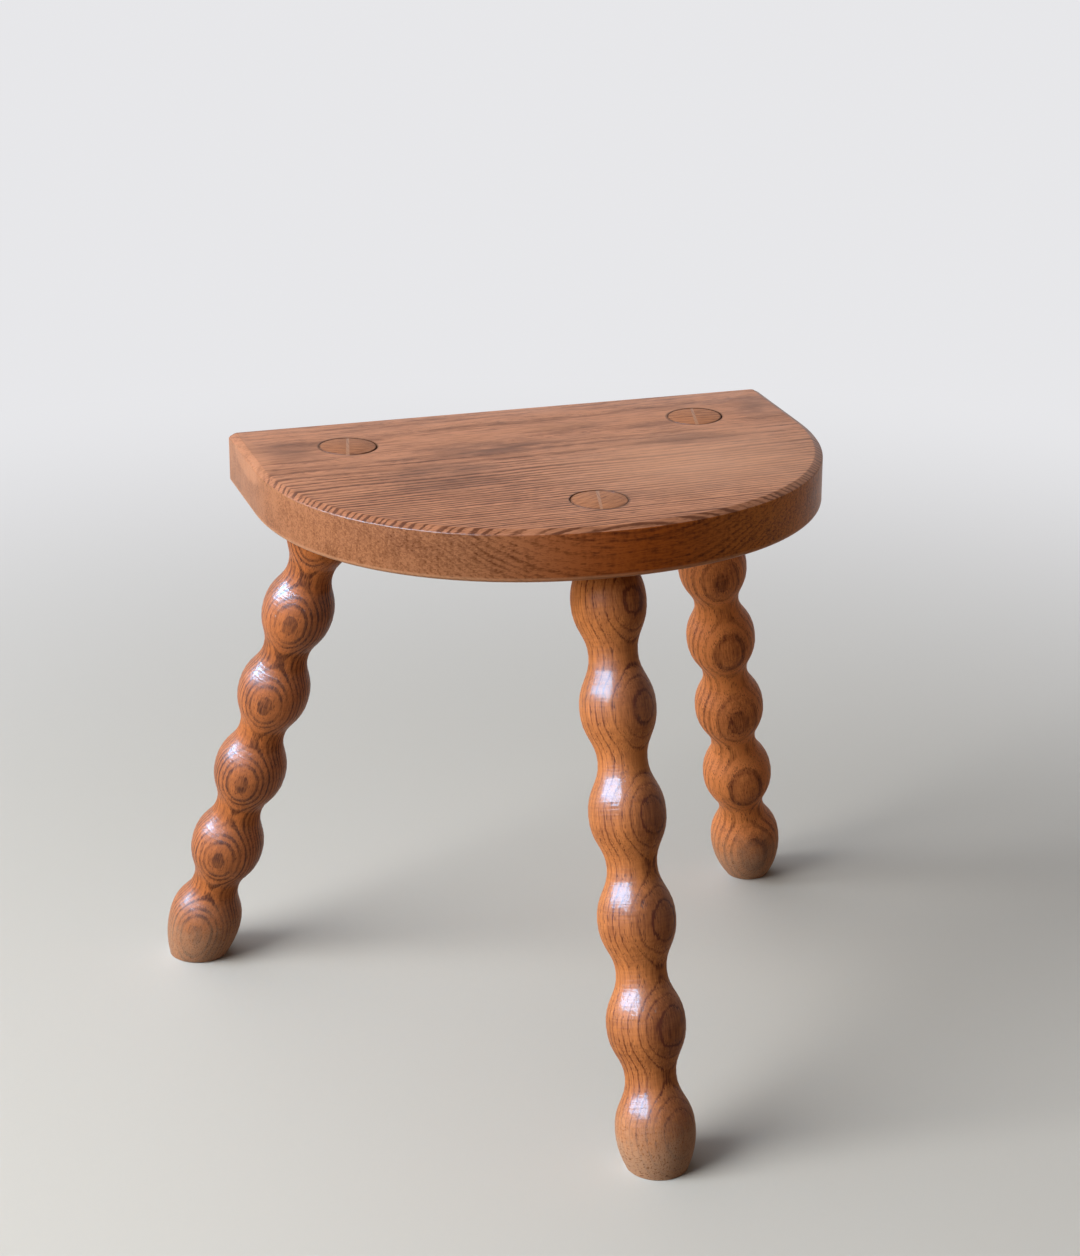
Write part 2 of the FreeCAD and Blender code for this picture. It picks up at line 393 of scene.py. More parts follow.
def tapered_strip(name, leg):
    thick_at_top = WEDGE_THICKNESS + (WEDGE_THICKNESS - WEDGE_TIP) * WEDGE_ABOVE / WEDGE_DEPTH
    bpy.ops.object.select_all(action="DESELECT")
    bpy.ops.mesh.primitive_cube_add(size=1, location=(0, 0, (WEDGE_ABOVE - WEDGE_DEPTH) / 2))
    piece = bpy.context.object
    piece.name = name
    piece.scale = (thick_at_top, 4 * TENON_RADIUS, WEDGE_ABOVE + WEDGE_DEPTH)
    bpy.ops.object.transform_apply(location=True, rotation=True, scale=True)
    edit(piece)
    pick_vertices(piece, lambda place: place.z < -WEDGE_DEPTH / 2)
    bpy.ops.transform.resize(value=(WEDGE_TIP / thick_at_top, 1, 1), center_override=(0, 0, -WEDGE_DEPTH))
    leave_edit()
    put(piece, leg_frame(leg))
    return piece


wedges = {}
for leg in LEGS:
    wedges[leg] = tapered_strip("tenon_wedge_" + leg, leg)
    slit = tapered_strip("slit", leg)
    boolean(wedges[leg], "INTERSECT", turned_legs[leg])
    boolean(turned_legs[leg], "DIFFERENCE", slit)
    bpy.data.objects.remove(slit)
    print(wedges[leg].name, len(wedges[leg].data.polygons), "faces")

# %% [markdown]
# ## The seat board
# The board has a straight back, two short straight sides and a full round front. The front is a Bezier
# curve with three knots. Its two ends are extruded back for the sides and joined for the back edge. The
# loop is then extruded upwards: out over a small chamfer, straight up the edge, and in again over the
# shallow bevel. It is scaled about the middle of the back edge, so the back stays straight.

# %% Draw and raise the board
SIDE_LENGTH = 63 * MM
FRONT_FULLNESS = 0.595
UNDER_CHAMFER = 1.3 * MM
BEVEL_WIDTH = 3.9 * MM
BEVEL_HEIGHT = 2.0 * MM
BACK_CORNER_RADIUS = 1.5 * MM
FRONT_STEPS = 90
CORNER_STEPS = 6
seat_size = seat_high - seat_low
half_width = seat_size.x / 2
front_reach = seat_size.y - SIDE_LENGTH


def front_knots():
    """The round front of the seat at its underside, from the right side round to the left."""
    left = Vector((SEAT_MIDDLE - half_width, SEAT_BACK - SIDE_LENGTH, UNDERSIDE))
    right = Vector((SEAT_MIDDLE + half_width, SEAT_BACK - SIDE_LENGTH, UNDERSIDE))
    front = Vector((SEAT_MIDDLE, SEAT_BACK - seat_size.y, UNDERSIDE))
    forward = Vector((0, -FRONT_FULLNESS * front_reach, 0))
    sideways = Vector((FRONT_FULLNESS * half_width, 0, 0))
    return [
        (right, right, right + forward),
        (front, front + sideways, front - sideways),
        (left, left + forward, left),
    ]


def draw_in(amount):
    """In edit mode, scale the selected loop so that its sides and front move in. The back edge stays."""
    bpy.ops.transform.resize(
        value=(1 - amount / half_width, 1 - amount / seat_size.y, 1),
        center_override=(SEAT_MIDDLE, SEAT_BACK, 0),
    )


def extrude_up(height):
    bpy.ops.mesh.extrude_region_move(TRANSFORM_OT_translate={"value": (0, 0, height)})


seat = draw_curve("seat_plank", front_knots(), FRONT_STEPS)
edit(seat)
pick_vertices(seat, lambda place: close_enough(place.y, SEAT_BACK - SIDE_LENGTH))
bpy.ops.mesh.extrude_region_move(TRANSFORM_OT_translate={"value": (0, SIDE_LENGTH, 0)})
bpy.ops.mesh.edge_face_add()
bpy.ops.mesh.bevel(offset=BACK_CORNER_RADIUS, segments=CORNER_STEPS, affect="VERTICES")
bpy.ops.mesh.select_all(action="SELECT")
draw_in(UNDER_CHAMFER)
extrude_up(UNDER_CHAMFER)
draw_in(-UNDER_CHAMFER)
extrude_up(seat_size.z - UNDER_CHAMFER - BEVEL_HEIGHT)
extrude_up(BEVEL_HEIGHT)
draw_in(BEVEL_WIDTH)
bpy.ops.mesh.edge_face_add()
pick_vertices(seat, lambda place: close_enough(place.z, UNDERSIDE))
bpy.ops.mesh.edge_face_add()
bpy.ops.mesh.select_all(action="SELECT")
bpy.ops.mesh.normals_make_consistent(inside=False)
leave_edit()
print(seat.name, len(seat.data.polygons), "faces")

# %% [markdown]
# No edge of an old board is sharp. Every edge that still turns by more than twenty degrees is picked by its
# angle and rounded by about half a millimetre. The holes come last, so their rims stay crisp. A hole that
# was bored by hand is never quite true, so each one is a little wide and stands off its tenon towards one
# side.

# %% Soften the edges and bore the holes
ARRIS_RADIUS = 0.6 * MM
ARRIS_STEPS = 3
CORNER_ANGLE = math.radians(20)
BORE_CLEARANCE = 0.25 * MM
BORE_SLACK = {"front": 0.5 * MM, "back_left": 0.8 * MM, "back_right": 0.55 * MM}
SLACK_CLOCK = {"front": math.radians(300), "back_left": math.radians(150), "back_right": math.radians(120)}


def round_bar(name, leg, radius):
    """A bar along a leg's axis, from the first bobbin to above the seat."""
    bottom = -(SEAT_THICKNESS / math.cos(SPLAY[leg]) + FIRST_BOBBIN_DROP)
    bpy.ops.object.select_all(action="DESELECT")
    bpy.ops.mesh.primitive_cylinder_add(
        vertices=SPIN_STEPS,
        radius=radius,
        depth=2 * SPARE + WEDGE_ABOVE - bottom,
        location=(0, 0, SPARE + (WEDGE_ABOVE + bottom) / 2),
    )
    piece = bpy.context.object
    piece.name = name
    put(piece, leg_frame(leg) @ piece.matrix_world)
    return piece


edit(seat)
bpy.ops.mesh.select_mode(type="EDGE")
bpy.ops.mesh.select_all(action="DESELECT")
bpy.ops.mesh.edges_select_sharp(sharpness=CORNER_ANGLE)
bpy.ops.mesh.bevel(offset=ARRIS_RADIUS, segments=ARRIS_STEPS, affect="EDGES")
leave_edit()

for leg in LEGS:
    slack = BORE_SLACK[leg] / 2
    clock = SLACK_CLOCK[leg]
    bore = round_bar("bore", leg, TENON_RADIUS + BORE_CLEARANCE + slack)
    put(bore, Matrix.Translation((slack * math.sin(clock), slack * math.cos(clock), 0)))
    boolean(seat, "DIFFERENCE", bore)
    bpy.data.objects.remove(bore)
print(seat.name, "bored,", len(seat.data.polygons), "faces")

# %% [markdown]
# A sanded bobbin shows no facets. More faces would hide them too, but smooth shading costs nothing. It is
# set by angle, so that sawn ends and the rims of the holes stay crisp.

# %% Shade the pieces smooth
SMOOTH_ANGLE = math.radians(18)
for piece in (seat, *turned_legs.values(), *wedges.values()):
    only(piece)
    bpy.ops.object.shade_smooth_by_angle(angle=SMOOTH_ANGLE)
    print(piece.name, "shaded")

# %% [markdown]
# ## How a wood finish is built
# Wood is a stack of yearly rings round the pith of the tree, and every cut through the stack shows another
# figure: eyes on a bobbin, stripes on a flat board, dots on end grain. So the finish isn't painted on. The
# nodes work out how far each point lies from the pith, in millimetres, and colour it by that distance. Each
# node is a small sum, so a helper with one short name for each kind keeps the recipes readable.

# %% A helper that adds and wires nodes
class Nodes:
    """A node tree that is being built, node by node."""

    def __init__(self, tree):
        self.tree = tree

    def feed(self, socket, value):
        if isinstance(value, bpy.types.NodeSocket):
            self.tree.links.new(value, socket)
        else:
            socket.default_value = value

    def node(self, kind, inputs, **settings):
        made = self.tree.nodes.new("ShaderNode" + kind)
        for setting, value in settings.items():
            setattr(made, setting, value)
        for socket, value in inputs.items():
            self.feed(made.inputs[socket], value)
        return made

    def math(self, operation, first, second=0.0, third=0.0):
        return self.node("Math", {0: first, 1: second, 2: third}, operation=operation).outputs[0]

    def times(self, first, second):
        return self.math("MULTIPLY", first, second)

    def either(self, first, second):
        """The larger of two values."""
        return self.math("MAXIMUM", first, second)

    def clamp(self, value):
        return self.node("Clamp", {"Value": value}).outputs[0]

    def lift(self, value, lowest):
        """A value from 0 to 1, squeezed so that it runs from lowest to 1."""
        return self.math("MULTIPLY_ADD", value, 1 - lowest, lowest)

    def between(self, value, low, high):
        """A soft step from 0 at low to 1 at high."""
        inputs = {"Value": value, "From Min": low, "From Max": high}
        return self.node("MapRange", inputs, interpolation_type="SMOOTHSTEP").outputs[0]

    def mix(self, share, first, second):
        return self.node("Mix", {0: share, 6: first, 7: second}, data_type="RGBA").outputs[2]

    def coordinates(self, kind):
        return self.node("TexCoord", {}).outputs[kind]

    def vector(self, operation, first, second):
        return self.node("VectorMath", {0: first, 1: second}, operation=operation).outputs["Vector"]

    def dot(self, first, second):
        return self.node("VectorMath", {0: first, 1: second}, operation="DOT_PRODUCT").outputs["Value"]

    def length(self, vector):
        return self.node("VectorMath", {0: vector}, operation="LENGTH").outputs["Value"]

    def parts(self, vector):
        """The x, y and z of a vector."""
        return self.node("SeparateXYZ", {0: vector}).outputs


print("node helper ready")

# %% The same helper for a material, with noise and places
class Finish(Nodes):
    """A material that is being built."""

    def __init__(self, name):
        self.material = bpy.data.materials.new(name)
        self.material.use_nodes = True
        super().__init__(self.material.node_tree)
        self.shader = self.tree.nodes["Principled BSDF"]

    def set(self, socket, value):
        """Set a socket of the shader to a value, or wire it to another socket."""
        self.feed(self.shader.inputs[socket], value)

    def put_on(self, piece):
        piece.data.materials.clear()
        piece.data.materials.append(self.material)
        print("finished", piece.name)

    def in_millimetres(self, axes):
        """The place of a point in a frame with these axes, in millimetres."""
        inputs = {
            "Vector": self.coordinates("Object"),
            "Location": axes.translation,
            "Rotation": axes.to_euler(),
            "Scale": (MM, MM, MM),
        }
        return self.node("Mapping", inputs, vector_type="TEXTURE").outputs[0]

    def from_axis(self, place):
        """How far a place lies from the Z axis of its frame."""
        return self.length(self.vector("MULTIPLY", place, (1.0, 1.0, 0.0)))

    def spot(self, place, centre, size, core=0.1):
        """1 at a centre and out to the core, fading to 0 at the rim of an ellipse with these half sizes."""
        apart = self.vector("DIVIDE", self.vector("SUBTRACT", place, centre), size)
        return self.between(self.length(apart), 1.0, core)

    def noise_node(self, place, size, detail):
        scaled = self.vector("DIVIDE", place, size)
        return self.node("TexNoise", {"Vector": scaled, "Scale": 1.0, "Detail": detail})

    def noise(self, place, size, detail=2.0):
        """Noise from 0 to 1 whose grains have these sizes along x, y and z."""
        return self.noise_node(place, size, detail).outputs[0]

    def vary(self, base, noise, amount):
        """A value raised or lowered by noise, by up to about half the amount."""
        return self.math("MULTIPLY_ADD", self.math("SUBTRACT", noise, 0.5), amount, base)

    def sway(self, place, size, amount):
        """A place pushed across the grain by noise, by up to about half the amount."""
        push = self.noise_node(place, size, 2.0).outputs[1]
        push = self.vector("SUBTRACT", push, (0.5, 0.5, 0.5))
        return self.vector("ADD", place, self.vector("MULTIPLY", push, (amount, amount, 0.0)))


print("finish helper ready")

# %% [markdown]
# ## Yearly rings
# In every year a tree lays down pale, open wood first and dense, dark wood last. The distance from the
# pith, counted in rings, gives the year, and its fraction the season. To look grown, the rings are bent by
# slow noise, frayed by fine noise, broken into dashes along the grain, and made unequal in width and
# darkness from year to year. A ready-made wave texture gives rings in one step, but they come out as even
# as a target.

# %% Rings, pores and fibres
# sizes of the noise in millimetres: two across the grain and one along it
SLOW_BEND = (40.0, 40.0, 110.0)
QUICK_BEND = (7.0, 7.0, 30.0)
FRAY = (0.7, 0.7, 6.0)
PATCH = (12.0, 12.0, 45.0)
DASH = (0.5, 0.5, 4.5)
FIBRE = (0.9, 0.9, 22.0)
FINE_DETAIL = 3.0
QUICK_BEND_SHARE = 0.25
YEARS_PER_SWING = 2.5
# soft steps on that noise, and within a year
PATCHES = (0.3, 0.6)
DASHES = (0.4, 0.6)
PORES = (0.56, 0.68)
EARLY_WOOD = (0.6, 0.1)
DARKEST_BEFORE_END = 0.8
DARK_AFTER_END = 0.3
WEAKEST_YEAR = 0.6
WEAKEST_PATCH = 0.4
WEAKEST_DASH = 0.6
FEWEST_PORES = 0.3


def wood_grain(finish, pith, ring, late, wobble, ragged):
    """The place in the pith's frame in millimetres, and the dark rings, pores and fibres there.
    pith is a frame with +Z along the grain. ring is the yearly growth and late the share of it that is dark.
    wobble bends the rings, and ragged frays their edges, both in millimetres."""
    place = finish.in_millimetres(pith)
    bent = finish.sway(place, SLOW_BEND, wobble)
    bent = finish.sway(bent, QUICK_BEND, QUICK_BEND_SHARE * wobble)
    distance = finish.vary(finish.from_axis(bent), finish.noise(bent, FRAY), ragged)

    # good and bad years differ in width, and each year grows dark towards its end
    swings = {"W": finish.math("DIVIDE", distance, ring * YEARS_PER_SWING), "Scale": 1.0, "Detail": 1.0}
    uneven = finish.node("TexNoise", swings, noise_dimensions="1D").outputs[0]
    years = finish.math("ADD", finish.math("DIVIDE", distance, ring), uneven)
    season = finish.math("FRACT", years)
    rise = finish.between(season, 1 - late, 1 - DARKEST_BEFORE_END * late ** 2)
    fall = finish.between(season, DARK_AFTER_END * late, 0.0)

    # no two years are equally dark, and none is dark all along
    year = finish.math("FLOOR", finish.math("ADD", years, 0.5))
    strength = finish.node("TexWhiteNoise", {"W": year}, noise_dimensions="1D").outputs["Value"]
    patchy = finish.between(finish.noise(place, PATCH), *PATCHES)
    strength = finish.times(finish.lift(strength, WEAKEST_YEAR), finish.lift(patchy, WEAKEST_PATCH))
    dashes = finish.noise(bent, DASH, 1.0)
    broken = finish.lift(finish.between(dashes, *DASHES), WEAKEST_DASH)
    dark = finish.times(finish.times(finish.either(rise, fall), strength), broken)

    early = finish.lift(finish.between(season, *EARLY_WOOD), FEWEST_PORES)
    pores = finish.times(finish.between(dashes, *PORES), early)
    fibres = finish.noise(bent, FIBRE, FINE_DETAIL)
    return SimpleNamespace(place=place, dark=dark, pores=pores, fibres=fibres)


print("grain ready")

# %% [markdown]
# ## The finish of the legs
# Each leg was turned from its own billet, so its rings lie another way. Where a bobbin bulges, the lathe
# cuts through a few rings, and they show as an eye, and at the necks the same rings close in to stripes.
# Eyes could be painted on, but they wouldn't run on into the stripes. Here each leg only gets its own pith,
# and the figure follows by itself. With the pith behind the leg the youngest wood lies in the eyes, and
# with the pith in front of it the oldest.

# %% The grain of each leg
EYE_SIDE = {
    "front": Vector((0.444, -0.856, 0.257)),
    "back_left": Vector((-0.47, -0.86, -0.17)),
    "back_right": Vector((-0.02, -0.96, -0.31)),
}
PITH_BEHIND = {"front": 92 * MM, "back_left": -120.74 * MM, "back_right": -102.0 * MM}
PITH_LEAN = {"front": 0.0, "back_left": -0.005, "back_right": -0.034}
RING = {"front": 3.3, "back_left": 2.2, "back_right": 4.2}
LATE = {"front": 0.25, "back_left": 0.5, "back_right": 0.45}
WOBBLE = {"front": 5.0, "back_left": 0.8, "back_right": 2.0}
RAGGED = {"front": 0.9, "back_left": 0.25, "back_right": 0.15}


def eye_direction(leg):
    """The way that the eyes of a leg face, square to its axis."""
    up = up_the_leg(leg)
    return (EYE_SIDE[leg] - up * EYE_SIDE[leg].dot(up)).normalized()


def leg_grain(finish, leg):
    up = up_the_leg(leg)
    eye = eye_direction(leg)
    along = (up + eye * PITH_LEAN[leg]).normalized()
    pith = frame_about(tenon_centre(leg) - eye * PITH_BEHIND[leg], along, up.cross(eye))
    return wood_grain(finish, pith, RING[leg], LATE[leg], WOBBLE[leg], RAGGED[leg])


for leg in LEGS:
    print("eyes of leg", leg, "face", [round(value, 2) for value in eye_direction(leg)])

# %% The stained wood of each leg
# The back right leg is painted lighter, against the shade that the seat casts on its upper bobbins.
LEG_LIGHT = {
    "front": (0.52, 0.186, 0.051, 1),
    "back_left": (0.46, 0.146, 0.038, 1),
    "back_right": (0.63, 0.212, 0.060, 1),
}
LEG_DARK = {
    "front": (0.120, 0.028, 0.008, 1),
    "back_left": (0.095, 0.029, 0.010, 1),
    "back_right": (0.115, 0.028, 0.008, 1),
}
PORE_COLOUR = (0.070, 0.018, 0.006, 1)
LEG_PORE_SHARE = 0.8
CONTRAST = {"front": 0.85, "back_left": 1.0, "back_right": 0.8}
STAIN = {"front": 0.22, "back_left": 0.22, "back_right": 0.02}
LEG_FIBRES = 1.0
LATHE_MARK = (16.0, 16.0, 1.1)
LATHE_MARKS = 0.4
# clouds in the stain, as size in millimetres and amount
LEG_CLOUDS = (((22.0, 22.0, 50.0), 0.9), ((3.0, 3.0, 6.0), 0.5))
# a few darker years lie under the side that shows the eyes, from this depth off the axis to that
EYE_FILL = {"front": 0.35, "back_left": 0.03, "back_right": 0.36}
EYE_DEPTHS = (14.0, 18.5)
EYE_RIM = (5.0, 5.0, 12.0)
EYE_RIM_SHIFT = 4.0


def leg_colour(finish, leg, grain, on_leg, lathe):
    tone = finish.math("MULTIPLY_ADD", grain.dark, CONTRAST[leg], STAIN[leg])
    tone = finish.vary(tone, grain.fibres, LEG_FIBRES)
    tone = finish.vary(tone, lathe, LATHE_MARKS)
    for size, amount in LEG_CLOUDS:
        tone = finish.vary(tone, finish.noise(grain.place, size), amount)
    towards_eye = leg_frame(leg).to_3x3().inverted() @ eye_direction(leg)
    depth = finish.dot(on_leg, towards_eye)
    depth = finish.vary(depth, finish.noise(grain.place, EYE_RIM), EYE_RIM_SHIFT)
    tone = finish.math("MULTIPLY_ADD", finish.between(depth, *EYE_DEPTHS), EYE_FILL[leg], tone)
    colour = finish.mix(finish.clamp(tone), LEG_LIGHT[leg], LEG_DARK[leg])
    return finish.mix(finish.times(grain.pores, LEG_PORE_SHARE), colour, PORE_COLOUR)


print("leg colours for", ", ".join(LEG_LIGHT))

# %% [markdown]
# Two places differ from the rest of a leg. The foot has lost its stain where it rubs on the floor. The worn
# part could be painted, but its ragged edge comes by itself where noise shifts the height before it is
# compared. The top of the tenon is end grain: it is streaky, and dirt has gathered in the joint round it.

# %% Worn feet and tenon ends
FOOT_WORN = (0.41, 0.262, 0.168, 1)
FOOT_SCRATCH = (0.105, 0.050, 0.026, 1)
WORN_HEIGHT = {"front": 40 * MM, "back_left": 44 * MM, "back_right": 44 * MM}
WORN_SHARE = {"front": 0.72, "back_left": 0.55, "back_right": 0.62}
WORN_THROUGH = 0.2
WEAR_EDGE = (9.0, 9.0, 9.0)
WEAR_SHIFT = 24 * MM
SCRATCH = (2.4, 0.5, 1.0)
SCRATCHES = (0.5, 0.72)
FINEST_DETAIL = 4.0
END_LIGHT = (0.49, 0.208, 0.092, 1)
END_DARK = (0.16, 0.055, 0.022, 1)
END_RINGS = 0.6
END_STAIN = 0.25
STREAK = (1.2, 7.0, 9.0)
STREAKS = 1.8


def worn_foot(finish, leg, grain, height):
    """1 on the worn part of a foot, and 0 above it."""
    ragged = finish.vary(height, finish.noise(grain.place, WEAR_EDGE, FINEST_DETAIL), WEAR_SHIFT)
    return finish.between(ragged, WORN_HEIGHT[leg], WORN_THROUGH * WORN_HEIGHT[leg])


def foot_colour(finish, grain):
    scratches = finish.between(finish.noise(grain.place, SCRATCH, FINEST_DETAIL), *SCRATCHES)
    return finish.mix(scratches, FOOT_WORN, FOOT_SCRATCH)


def end_colour(finish, grain):
    streaks = finish.noise(grain.place, STREAK, FINE_DETAIL)
    streaks = finish.vary(finish.times(grain.dark, END_RINGS), streaks, STREAKS)
    return finish.mix(finish.clamp(finish.math("ADD", streaks, END_STAIN)), END_LIGHT, END_DARK)


print("feet worn up to", [round(height / MM) for height in WORN_HEIGHT.values()], "mm")

# %% [markdown]
# Years of hands and cloths have polished the bulges. They missed the hollows, the first bobbin under the
# seat, the worn feet and the tenon ends. A coat on the shader is that polish: it reflects by itself, while
# the wood below stays nearly matt. The fine ridges of the lathe break the reflections up a little.

# %% Put the finish on the legs
TENON_END = (SEAT_TOP - 0.8 * MM, SEAT_TOP - 0.3 * MM)
TENON_END_SHARE = 0.85
TENON_RIM = (13.2, 14.2)
JOINT_DIRT = (0.070, 0.028, 0.014, 1)
DIRT_SHARE = 0.6
HOLLOWS = (14.1, 13.2)
UNDER_SEAT = (-68.0, -60.0)
POLISH = {"front": 0.11, "back_left": 0.25, "back_right": 0.08}
POLISH_BLUR = {"front": 0.11, "back_left": 0.23, "back_right": 0.29}
LEG_SHEEN = 0.055
LEG_ROUGHNESS = 0.5
LEG_PORE_DEPTH = 0.4
LATHE_BUMP = 0.6
LATHE_RIDGE = 0.25 * MM


def leg_finish(leg):
    finish = Finish("leg_wood_" + leg)
    grain = leg_grain(finish, leg)
    on_leg = finish.in_millimetres(leg_frame(leg))
    from_axis = finish.from_axis(on_leg)
    height = finish.parts(finish.coordinates("Object"))[2]
    lathe = finish.noise(grain.place, LATHE_MARK)
    worn = worn_foot(finish, leg, grain, height)
    end = finish.between(height, *TENON_END)

    colour = leg_colour(finish, leg, grain, on_leg, lathe)
    colour = finish.mix(finish.times(worn, WORN_SHARE[leg]), colour, foot_colour(finish, grain))
    colour = finish.mix(finish.times(end, TENON_END_SHARE), colour, end_colour(finish, grain))
    rim = finish.times(end, finish.between(from_axis, *TENON_RIM))
    finish.set("Base Color", finish.mix(finish.times(rim, DIRT_SHARE), colour, JOINT_DIRT))

    hollow = finish.between(from_axis, *HOLLOWS)
    under_seat = finish.between(finish.parts(on_leg)[2], *UNDER_SEAT)
    dull = finish.either(finish.either(worn, end), finish.either(hollow, under_seat))
    polished = finish.math("SUBTRACT", 1.0, dull)
    finish.set("Coat Weight", finish.times(polished, POLISH[leg]))
    finish.set("Coat Roughness", POLISH_BLUR[leg])
    finish.set("Specular IOR Level", LEG_SHEEN)
    finish.set("Roughness", LEG_ROUGHNESS)

    relief = finish.math("MULTIPLY_ADD", grain.pores, -LEG_PORE_DEPTH, lathe)
    bump = finish.node("Bump", {"Height": relief, "Strength": LATHE_BUMP, "Distance": LATHE_RIDGE})
    finish.set("Normal", bump.outputs[0])
    finish.set("Coat Normal", bump.outputs[0])
    return finish


for leg in LEGS:
    leg_finish(leg).put_on(turned_legs[leg])

# %% [markdown]
# ## The finish of the seat
# The board was sawn from well above the pith, with the grain running from side to side. Its rings lie
# almost flat near the back, where the top shows broad, quiet figure, and steeper towards the front, where
# it shows close lines. A picture of a board would do for the top, but it would stop at the edge. With rings
# in space, one year runs over the bevel and down the edge. The top and each stretch of the edge get colours
# of their own, told apart by the way the face points. Partly that is real, since end grain takes up more
# stain, and partly it is painted light and shade on each face.

# %% The board's faces
TOP_FACES = (0.5, 0.85)
BEVEL_FACES = (0.985, 0.93)
END_FACES = (0.3, 0.8)
LEFT_FACES = (0.1, -0.5)
BACK_FACES = (0.3, 0.8)
RIGHT_FACES = (0.1, 0.55)


def board_faces(finish):
    """Masks of the board's faces, from their normals. The back counts with the left side."""
    across, along, up = finish.parts(finish.coordinates("Normal"))
    sideways = finish.math("ABSOLUTE", across)
    top = finish.between(up, *TOP_FACES)
    return SimpleNamespace(
        top=top,
        bevel=finish.times(finish.between(up, *BEVEL_FACES), top),
        sideways=sideways,
        ends=finish.between(sideways, *END_FACES),
        left=finish.either(finish.between(across, *LEFT_FACES), finish.between(along, *BACK_FACES)),
        right=finish.between(across, *RIGHT_FACES),
    )


print("faces of the board ready")

# %% The board's grain
SEAT_GRAIN_SLANT = math.radians(2)
SEAT_PITH_DEPTH = 117 * MM
SEAT_PITH_SETBACK = 40 * MM
SEAT_RING = 2.1
SEAT_LATE = 0.42
SEAT_WOBBLE = 4.0
SEAT_RAGGED = 0.8
RING_SHARE = 0.65
RING_LOSS_ON_ENDS = 0.5
RING_GAIN_IN_FRONT = 1.25
TOWARDS_FRONT = (-60.0, -125.0)


def board_grain(finish):
    along = Vector((math.cos(SEAT_GRAIN_SLANT), math.sin(SEAT_GRAIN_SLANT), 0))
    pith_height = (SEAT_TOP + UNDERSIDE) / 2 - SEAT_PITH_DEPTH
    middle = Vector((SEAT_MIDDLE, SEAT_BACK - SEAT_PITH_SETBACK, pith_height))
    pith = frame_about(middle, along, Vector((0, 0, 1)))
    return wood_grain(finish, pith, SEAT_RING, SEAT_LATE, SEAT_WOBBLE, SEAT_RAGGED)


def board_rings(finish, grain, faces, on_board):
    """The dark rings, clearest at the front of the top and faint on end grain."""
    towards_front = finish.between(finish.parts(on_board)[1], *TOWARDS_FRONT)
    clear = finish.math("MULTIPLY_ADD", faces.ends, -RING_LOSS_ON_ENDS, RING_SHARE)
    clear = finish.math("MULTIPLY_ADD", faces.top, finish.times(towards_front, RING_GAIN_IN_FRONT), clear)
    return finish.times(grain.dark, clear)


print("yearly rings of the board", SEAT_RING, "mm wide")

# %% The board's colours
# Partly painted light: the top pair is paler and greyer as a painted sheen, the left pair greyer as a painted
# reflection, the right pair lighter against the shade on that edge, and the front pair deeper and redder as
# painted shade.
TOP_LIGHT = (0.57, 0.25, 0.128, 1)
TOP_DARK = (0.155, 0.052, 0.020, 1)
FRONT_LIGHT = (0.33, 0.078, 0.010, 1)
FRONT_DARK = (0.095, 0.020, 0.003, 1)
LEFT_LIGHT = (0.33, 0.143, 0.067, 1)
LEFT_DARK = (0.12, 0.039, 0.013, 1)
RIGHT_LIGHT = (0.56, 0.195, 0.041, 1)
RIGHT_DARK = (0.12, 0.034, 0.008, 1)
SEAT_PORE_SHARE = 0.55
SEAT_STAIN = 0.2
SEAT_FIBRES = 1.6
SEAT_CLOUDS = (((22.0, 22.0, 60.0), 1.0), ((2.0, 2.0, 9.0), 0.7))
# roughness of the sawn edge: specks in the wood, and upright marks
SAWN_SPECK = (0.8, 1.6, 2.0)
SAWN_SPECKS = 1.1
SAWN_LINE = (2.5, 2.5, 14.0)
SAWN_LINES = 0.9


def board_colour(finish, grain, rings, faces, on_board):
    tone = finish.vary(rings, grain.fibres, SEAT_FIBRES)
    for size, amount in SEAT_CLOUDS:
        tone = finish.vary(tone, finish.noise(grain.place, size), amount)
    rough = finish.vary(0.0, finish.noise(grain.place, SAWN_SPECK, FINE_DETAIL), SAWN_SPECKS)
    rough = finish.vary(rough, finish.noise(on_board, SAWN_LINE, FINE_DETAIL), SAWN_LINES)
    tone = finish.math("MULTIPLY_ADD", rough, finish.math("SUBTRACT", 1.0, faces.top), tone)
    tone = finish.clamp(finish.math("ADD", tone, SEAT_STAIN))
    # the pairs of colours carry painted light and shade as well as the wood's own colour
    light = finish.mix(faces.right, finish.mix(faces.left, FRONT_LIGHT, LEFT_LIGHT), RIGHT_LIGHT)
    deep = finish.mix(faces.right, finish.mix(faces.left, FRONT_DARK, LEFT_DARK), RIGHT_DARK)
    light = finish.mix(faces.top, light, TOP_LIGHT)
    deep = finish.mix(faces.top, deep, TOP_DARK)
    colour = finish.mix(tone, light, deep)
    return finish.mix(finish.times(grain.pores, SEAT_PORE_SHARE), colour, PORE_COLOUR)


print("the board's colours ready")

# %% [markdown]
# Use has left its signs, and they lie over the wood like thin washes. Dirt has settled in the open ends of
# the rings along the bevel and round the tenons, and the whole bevel is a little darker. The edge is paler
# from just above the lower chamfer down, and the top has dark smudges from wet things and a paler patch
# where it was sat on most. The back left corner is rubbed pale. One pale patch near the middle of the back
# is no sign of use but a painted glare. They could be painted into a picture. Here each is one colour and a
# soft mask, which is only a place and a size.

# %% Signs of use on the board
CROSS_MARK = (0.115, 0.050, 0.036, 1)
MARKED_SIDES = (0.15, 0.4)
MARKED_RINGS = (0.15, 0.6)
MARK_SHARE = 0.35
BEVEL_DARKER = 0.25
CHAMFER_PALE = (0.50, 0.275, 0.155, 1)
CHAMFER_HEIGHTS = (-23.4, -24.8)
CHAMFER_SHARE = 0.45
